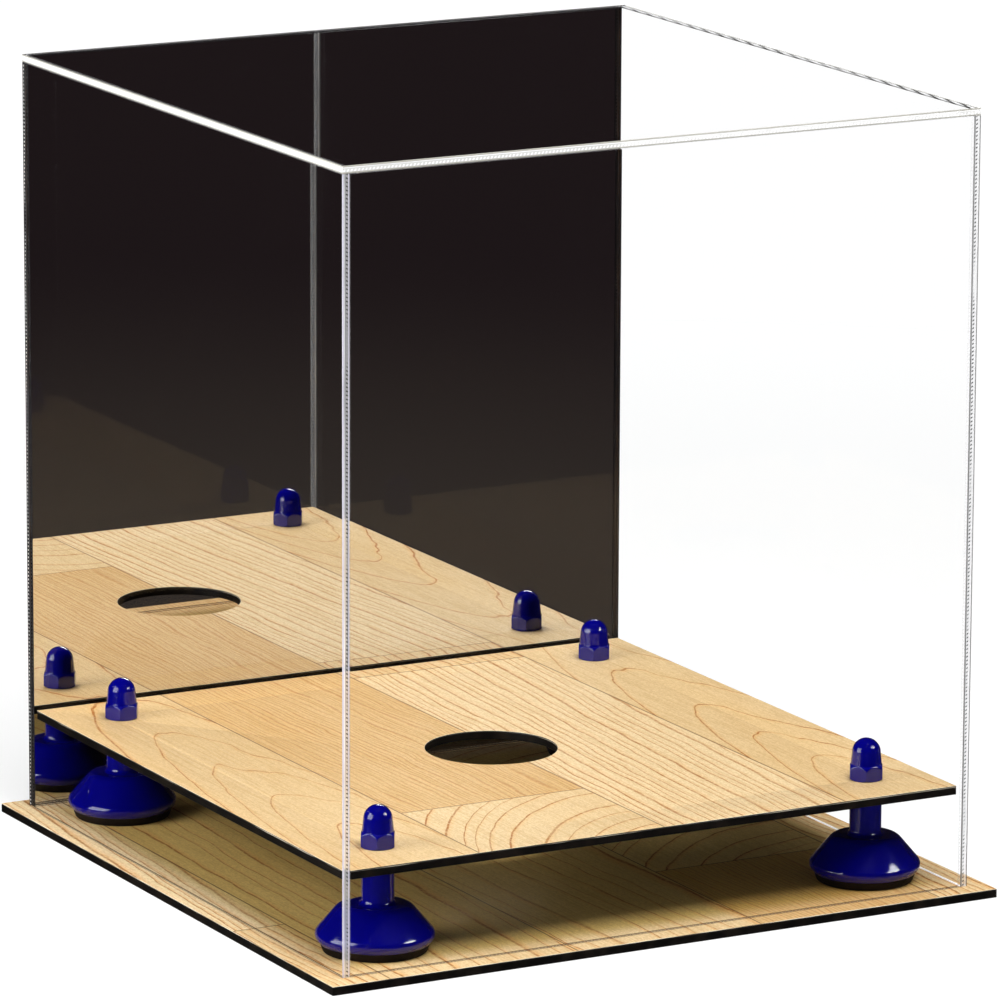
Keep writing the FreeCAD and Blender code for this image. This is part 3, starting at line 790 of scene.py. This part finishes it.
risers = turn_piece("blue_risers", riser_profile, True, four_corners, {
    **round_pieces, "Finish": blue_gloss, "Foot": riser_low.z}, RISER_SHARP)
pads = turn_piece("rubber_pads", pad_profile, False, four_corners, {
    **round_pieces, "Finish": pad_rubber, "Foot": pad_low.z}, RISER_SHARP)
dress(risers, "stand", "blue_gloss", *["riser_%d" % number for number in CORNERS])
dress(pads, "stand", "pad_rubber", *["riser_pad_%d" % number for number in CORNERS])

# %% [markdown]
# ## Cap nuts
# The blank of a nut is a short cylinder with a cone on its shoulder and a dome on top. Its bore is blind, so
# the profile starts on the axis at the end of the bore and ends on the axis at the top of the dome. Many rows
# are needed, because the milled flats cut across the cone.

# %% Turn and mill the cap nuts
NUT_SIDES, NUT_ROWS, NUT_SHARP = 144, 4, 32.0
BORE, BORE_DEPTH = 4.05, 10.5
NUT_FLATS, NUT_CORNER, FOOT_BEVEL = 13.0, 7.506, 0.8
HEX_HEIGHT, CORNER_BEVEL = 6.3, 1.4
DOME_FOOT, DOME_FOOT_ROUND = 6.25, 0.3
DOME_RADIUS, DOME_CENTRE, DOME_STEPS = 5.75, 11.05, 10
dome_angles = [math.radians(90 * step / DOME_STEPS) for step in range(DOME_STEPS)]
NUT_PROFILE = (
    (0.0, BORE_DEPTH, 0.0), (BORE, BORE_DEPTH, 0.0), (BORE, 0.0, 0.0), (NUT_FLATS / 2, 0.0, 0.0),
    (NUT_CORNER, FOOT_BEVEL, 0.0), (NUT_CORNER, HEX_HEIGHT - CORNER_BEVEL, 0.0),
    (DOME_FOOT, HEX_HEIGHT, DOME_FOOT_ROUND),
    *[(DOME_RADIUS * math.cos(angle), DOME_CENTRE + DOME_RADIUS * math.sin(angle), 0.0)
      for angle in dome_angles],
    (0.0, DOME_CENTRE + DOME_RADIUS, 0.0),
)
for number in CORNERS:
    nut_low, nut_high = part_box("cap_nut_%d" % number)
    middle = (nut_low + nut_high) / 2
    nut = turn_piece("blue_cap_nut_%d" % number, NUT_PROFILE, False, one_place, {
        "Sides": NUT_SIDES, "Rows": NUT_ROWS, "Flats": NUT_FLATS * MM, "Finish": blue_gloss,
        "Place": (middle.x, middle.y, nut_low.z)}, NUT_SHARP)
    dress(nut, "nut_%d" % number, "blue_gloss", "cap_nut_%d" % number)

# %% [markdown]
# ## The cover
# Each panel is a slab with softened arrises. Its two broad faces are clear, and each of its four edges gets
# the finish for where it lies: open at a corner, at the rear, resting on the base or hidden against a
# neighbour. A hidden edge stops a hair short of its neighbour, because two faces in exactly the same place
# make a render flicker. The edge map is written here too.

# %% A clear panel
ARRIS = 0.25 * MM
CEMENT_GAP = 0.06 * MM
BROAD_FACE, FACES_BACK = 0.99, 0.5


def panel_mesh(name, low, high, thin, face_finish, edges):
    """A slab from low to high with one thin axis. edges gives (axis, side) of each edge its finish."""
    low, high = Vector(low), Vector(high)
    for (axis, side), finish in edges.items():
        if finish in CEMENTED and side < 0:
            low[axis] += CEMENT_GAP
        elif finish in CEMENTED:
            high[axis] -= CEMENT_GAP
    work = bmesh.new()
    bmesh.ops.create_cube(work, size=1.0)
    bmesh.ops.transform(work, verts=work.verts, matrix=Matrix.LocRotScale((low + high) / 2, None, high - low))
    bmesh.ops.bevel(work, geom=list(work.edges), offset=ARRIS, segments=2, profile=0.5, affect="EDGES")
    edge_map = work.loops.layers.uv.new("edge_map")
    finishes = [face_finish, *dict.fromkeys(edges.values())]
    outside, inside = (high[thin], low[thin]) if high[thin] > 0 else (low[thin], high[thin])
    for face in work.faces:
        outward = {axis: abs(face.normal[axis]) for axis in range(3) if axis != thin}
        facing = max(outward, key=outward.get)
        side = 1 if face.normal[facing] > 0 else -1
        flat = abs(face.normal[thin]) > BROAD_FACE
        face.material_index = 0 if flat else finishes.index(edges[facing, side])
        run = next(axis for axis in range(3) if axis not in (thin, facing))
        for loop in face.loops:
            place = loop.vert.co
            loop[edge_map].uv = (place[run], (place[thin] - outside) / (inside - outside))
    mesh = bpy.data.meshes.new(name)
    work.to_mesh(mesh)
    work.free()
    for finish in finishes:
        mesh.materials.append(finish)
    finish_mesh(mesh)
    return mesh


# %% Make the panels
X, Y, Z = range(3)
LEFT_EDGES = {(Y, -1): left_corner, (Y, 1): rear_edge, (Z, -1): resting_edge, (Z, 1): hidden_edge}
RIGHT_EDGES = {(Y, -1): right_corner, (Y, 1): rear_edge, (Z, -1): bright_foot, (Z, 1): dashed_joint}
FRONT_EDGES = {(X, -1): hidden_edge, (X, 1): hidden_edge, (Z, -1): resting_edge, (Z, 1): hidden_edge}
TOP_EDGES = {(X, -1): top_edge, (X, 1): top_edge, (Y, -1): top_edge, (Y, 1): rear_edge}
MIRROR_EDGES = {(X, -1): mirror_rim, (X, 1): mirror_rim, (Z, -1): resting_edge, (Z, 1): mirror_rim}
PANELS = (
    ("clear_left_panel", "left_panel", X, clear_face, LEFT_EDGES),
    ("clear_right_panel", "right_panel", X, clear_face, RIGHT_EDGES),
    ("clear_front_panel", "front_panel", Y, clear_face, FRONT_EDGES),
    ("clear_top_panel", "top_panel", Z, clear_face, TOP_EDGES),
    ("clear_mirror_sheet", "mirror_sheet", Y, mirror_face, MIRROR_EDGES),
)
for name, node, thin, face_finish, edges in PANELS:
    low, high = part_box(node)
    if node == "mirror_sheet":
        high.y -= CEMENT_GAP
    panel = new_piece(name, panel_mesh(name, low, high, thin, face_finish, edges))
    dress(panel, "cover", "clear_acrylic", node)
    print("%-20s %.1f x %.1f x %.1f mm" % (name, *((high - low) / MM)))

# %% The silver behind the mirror sheet
low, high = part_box("mirror_backing")
paint_edges = {(axis, side): backing_paint for axis in (X, Z) for side in (-1, 1)}
for axis in (X, Z):
    low[axis] += CEMENT_GAP
    high[axis] -= CEMENT_GAP
mesh = panel_mesh("mirror_silver_coat", low, high, Y, mirror_silver, paint_edges)
for face in mesh.polygons:
    if face.normal.y > FACES_BACK:
        face.material_index = 1
dress(new_piece("mirror_silver_coat", mesh), "cover", "mirror_silver", "mirror_backing")
print("silver coat:", len(mesh.polygons), "faces")

# %% [markdown]
# ## The studio
# The floor and the world are white to the camera, and the floor keeps the case's shadow. The mirror in the
# picture is dark, because the room in front of it was dark. A photographer would hang black cloth there. Here
# a dark dome and a dark floor stand around the case, which only reflections can see.

# %% Floor and world
SKY_LIGHT, PAPER_WHITE = 0.22, 1.05
PAPER_TONE, SHADOW_TONE, SHADOW_GLOW = 0.80, 0.46, 0.62
SHADOW_REACH, SHADOW_END = 0.35, 1.1
FLOOR_RADIUS, FLOOR_DROP, FLOOR_SEGMENTS = 12.0, 0.1 * MM, 64
PURE_WHITE = grey(1.0)


def seen_directly(tree):
    """One for rays from the camera, from a gloss or through a clear panel, and zero for light on its way."""
    path = add(tree, "ShaderNodeLightPath").outputs
    indirect = calc(tree, "MAXIMUM", path["Is Glossy Ray"], path["Is Transmission Ray"])
    return calc(tree, "MAXIMUM", path["Is Camera Ray"], indirect)


def from_middle(tree):
    """The distance from the middle of the stage."""
    where = add(tree, "ShaderNodeTexCoord").outputs["Object"]
    return add(tree, "ShaderNodeVectorMath", {0: where}, operation="LENGTH").outputs["Value"]


def join(tree, kind, *inputs):
    """A Mix or Add shader with its inputs in order."""
    return add(tree, kind, dict(enumerate(inputs))).outputs[0]


floor_mesh = bpy.data.meshes.new("studio_floor")
work = bmesh.new()
bmesh.ops.create_circle(work, cap_ends=True, segments=FLOOR_SEGMENTS, radius=FLOOR_RADIUS,
                        matrix=Matrix.Translation((0.0, 0.0, -FLOOR_DROP)))
work.to_mesh(floor_mesh)
work.free()
floor = new_piece("studio_floor", floor_mesh)
floor_white, tree = empty_material("white studio floor")
paper = add(tree, "ShaderNodeBsdfDiffuse", {"Color": grey(PAPER_TONE)}).outputs[0]
shadow_catcher = add(tree, "ShaderNodeBsdfDiffuse", {"Color": grey(SHADOW_TONE)}).outputs[0]
glow = add(tree, "ShaderNodeEmission", {"Color": PURE_WHITE, "Strength": SHADOW_GLOW}).outputs[0]
plain_white = add(tree, "ShaderNodeEmission", {"Color": PURE_WHITE, "Strength": PAPER_WHITE}).outputs[0]
lit = join(tree, "ShaderNodeAddShader", shadow_catcher, glow)
far = rescale(tree, from_middle(tree), SHADOW_REACH, SHADOW_END)
fade = join(tree, "ShaderNodeMixShader", far, lit, plain_white)
choice = join(tree, "ShaderNodeMixShader", seen_directly(tree), paper, fade)
add(tree, "ShaderNodeOutputMaterial", {"Surface": choice})
floor_mesh.materials.append(floor_white)

world = bpy.data.worlds.new("studio")
scene.world = world
world.use_nodes = True
tree = world.node_tree
tree.nodes.clear()
strength = calc(tree, "MULTIPLY_ADD", seen_directly(tree), PAPER_WHITE - SKY_LIGHT, SKY_LIGHT)
sky = add(tree, "ShaderNodeBackground", {"Color": PURE_WHITE, "Strength": strength})
add(tree, "ShaderNodeOutputWorld", {"Surface": sky.outputs[0]})
print("floor and world are white")

# %% The dark room that reflections see
ROOM_RADIUS, ROOM_SEGMENTS, ROOM_RINGS = 6.0, 48, 24
CLOTH_LIFT, BELOW_FLOOR = 0.1 * MM, -10 * MM
NEAR_START, NEAR_END = 0.20, 1.05
FAR_CLOTH, NEAR_CLOTH_PAINTED_LIGHT = (0.014, 0.0095, 0.0105, 1.0), (0.036, 0.029, 0.025, 1.0)
# Painted light: the cloth glows with its own dim colour, painted lighter near the middle as if the lamps lit
# the floor around the case.
dark_room, tree = empty_material("dark studio cloth")
painted_light_near = rescale(tree, from_middle(tree), NEAR_START, NEAR_END, 1.0, 0.0)
cloth_colour = mix_colour(tree, painted_light_near, FAR_CLOTH, NEAR_CLOTH_PAINTED_LIGHT)
cloth = add(tree, "ShaderNodeEmission", {"Color": cloth_colour, "Strength": 1.0})
add(tree, "ShaderNodeOutputMaterial", {"Surface": cloth.outputs[0]})

room_mesh = bpy.data.meshes.new("dark_room")
work = bmesh.new()
bmesh.ops.create_uvsphere(work, u_segments=ROOM_SEGMENTS, v_segments=ROOM_RINGS, radius=ROOM_RADIUS)
below = [vert for vert in work.verts if vert.co.z < BELOW_FLOOR]
bmesh.ops.delete(work, geom=below, context="VERTS")
bmesh.ops.create_circle(work, cap_ends=True, segments=FLOOR_SEGMENTS, radius=ROOM_RADIUS,
                        matrix=Matrix.Translation((0.0, 0.0, CLOTH_LIFT)))
work.to_mesh(room_mesh)
work.free()
room_mesh.materials.append(dark_room)
room = new_piece("dark_room", room_mesh)
for ray in ("camera", "diffuse", "transmission", "volume_scatter", "shadow"):
    setattr(room, "visible_" + ray, False)
print("dark room:", len(room_mesh.polygons), "faces, seen by reflections only")

# %% [markdown]
# The highlights on the domes and the rims tell where the lamps stood. A streak on the left of each dome and a
# strip on the left of each rim come from a low soft box close by on the left. The small patch on the right of
# each cone comes from a small one at the front right, which lights nothing but the gloss. A broad one high up
# at the front lights the boards, and the gloss does not show it.


# %% Lamps
def soft_box(name, place, aim, size, watts, shape="RECTANGLE"):
    """A soft box that shines towards a point."""
    light = bpy.data.lights.new(name, "AREA")
    light.shape = shape
    light.size, light.size_y = size
    light.energy = watts
    lamp = bpy.data.objects.new(name, light)
    lamp.location = place
    lamp.rotation_euler = (Vector(aim) - Vector(place)).to_track_quat("-Z", "Y").to_euler()
    scene.collection.objects.link(lamp)
    print("%-16s %5.1f W" % (name, watts))
    return lamp


AIM = (0.0, 0.0, 0.08)
soft_box("left_soft_box", (-0.75, -0.02, 0.28), AIM, (0.54, 0.52), 5.0)
right_light = soft_box("right_soft_box", (0.72, -0.84, 0.78), AIM, (0.66, 0.38), 8.0, "ELLIPSE")
right_light.visible_diffuse = False
top_light = soft_box("top_soft_box", (0.05, -0.62, 1.70), AIM, (1.2, 1.2), 33.0)
top_light.visible_glossy = False

# %% [markdown]
# ## The camera
# The camera stands far off with a long lens, to the front left and a little above, where the photograph was
# taken from. Its place was worked out from the case's known corners: a turn, a rise, a slight roll, a
# distance and a target.

# %% Place the camera
VIEW_TURN, VIEW_RISE, VIEW_ROLL = (math.radians(angle) for angle in (-28.418, 12.852, 0.252))
VIEW_DISTANCE = 3026.07 * MM
VIEW_CENTRE = Vector((0.0, 0.0, 153.6 * MM))
VIEW_SHIFT = (3.7045 * MM, -5.869 * MM)
LENS, SENSOR = 270.81, 36.0
back = Vector((math.sin(VIEW_TURN) * math.cos(VIEW_RISE), -math.cos(VIEW_TURN) * math.cos(VIEW_RISE),
               math.sin(VIEW_RISE)))
right = Vector((math.cos(VIEW_TURN), math.sin(VIEW_TURN), 0.0))
up = back.cross(right)
eye = VIEW_CENTRE + right * VIEW_SHIFT[0] + up * VIEW_SHIFT[1] + back * VIEW_DISTANCE
rolled_right = right * math.cos(VIEW_ROLL) + up * math.sin(VIEW_ROLL)
rolled_up = up * math.cos(VIEW_ROLL) - right * math.sin(VIEW_ROLL)
camera_data = bpy.data.cameras.new("camera")
camera_data.sensor_width = SENSOR
camera_data.lens = LENS
camera = bpy.data.objects.new("camera", camera_data)
camera.matrix_world = Matrix.Translation(eye) @ Matrix((rolled_right, rolled_up, back)).transposed().to_4x4()
scene.collection.objects.link(camera)
scene.camera = camera
print("camera at", [round(number, 3) for number in eye])
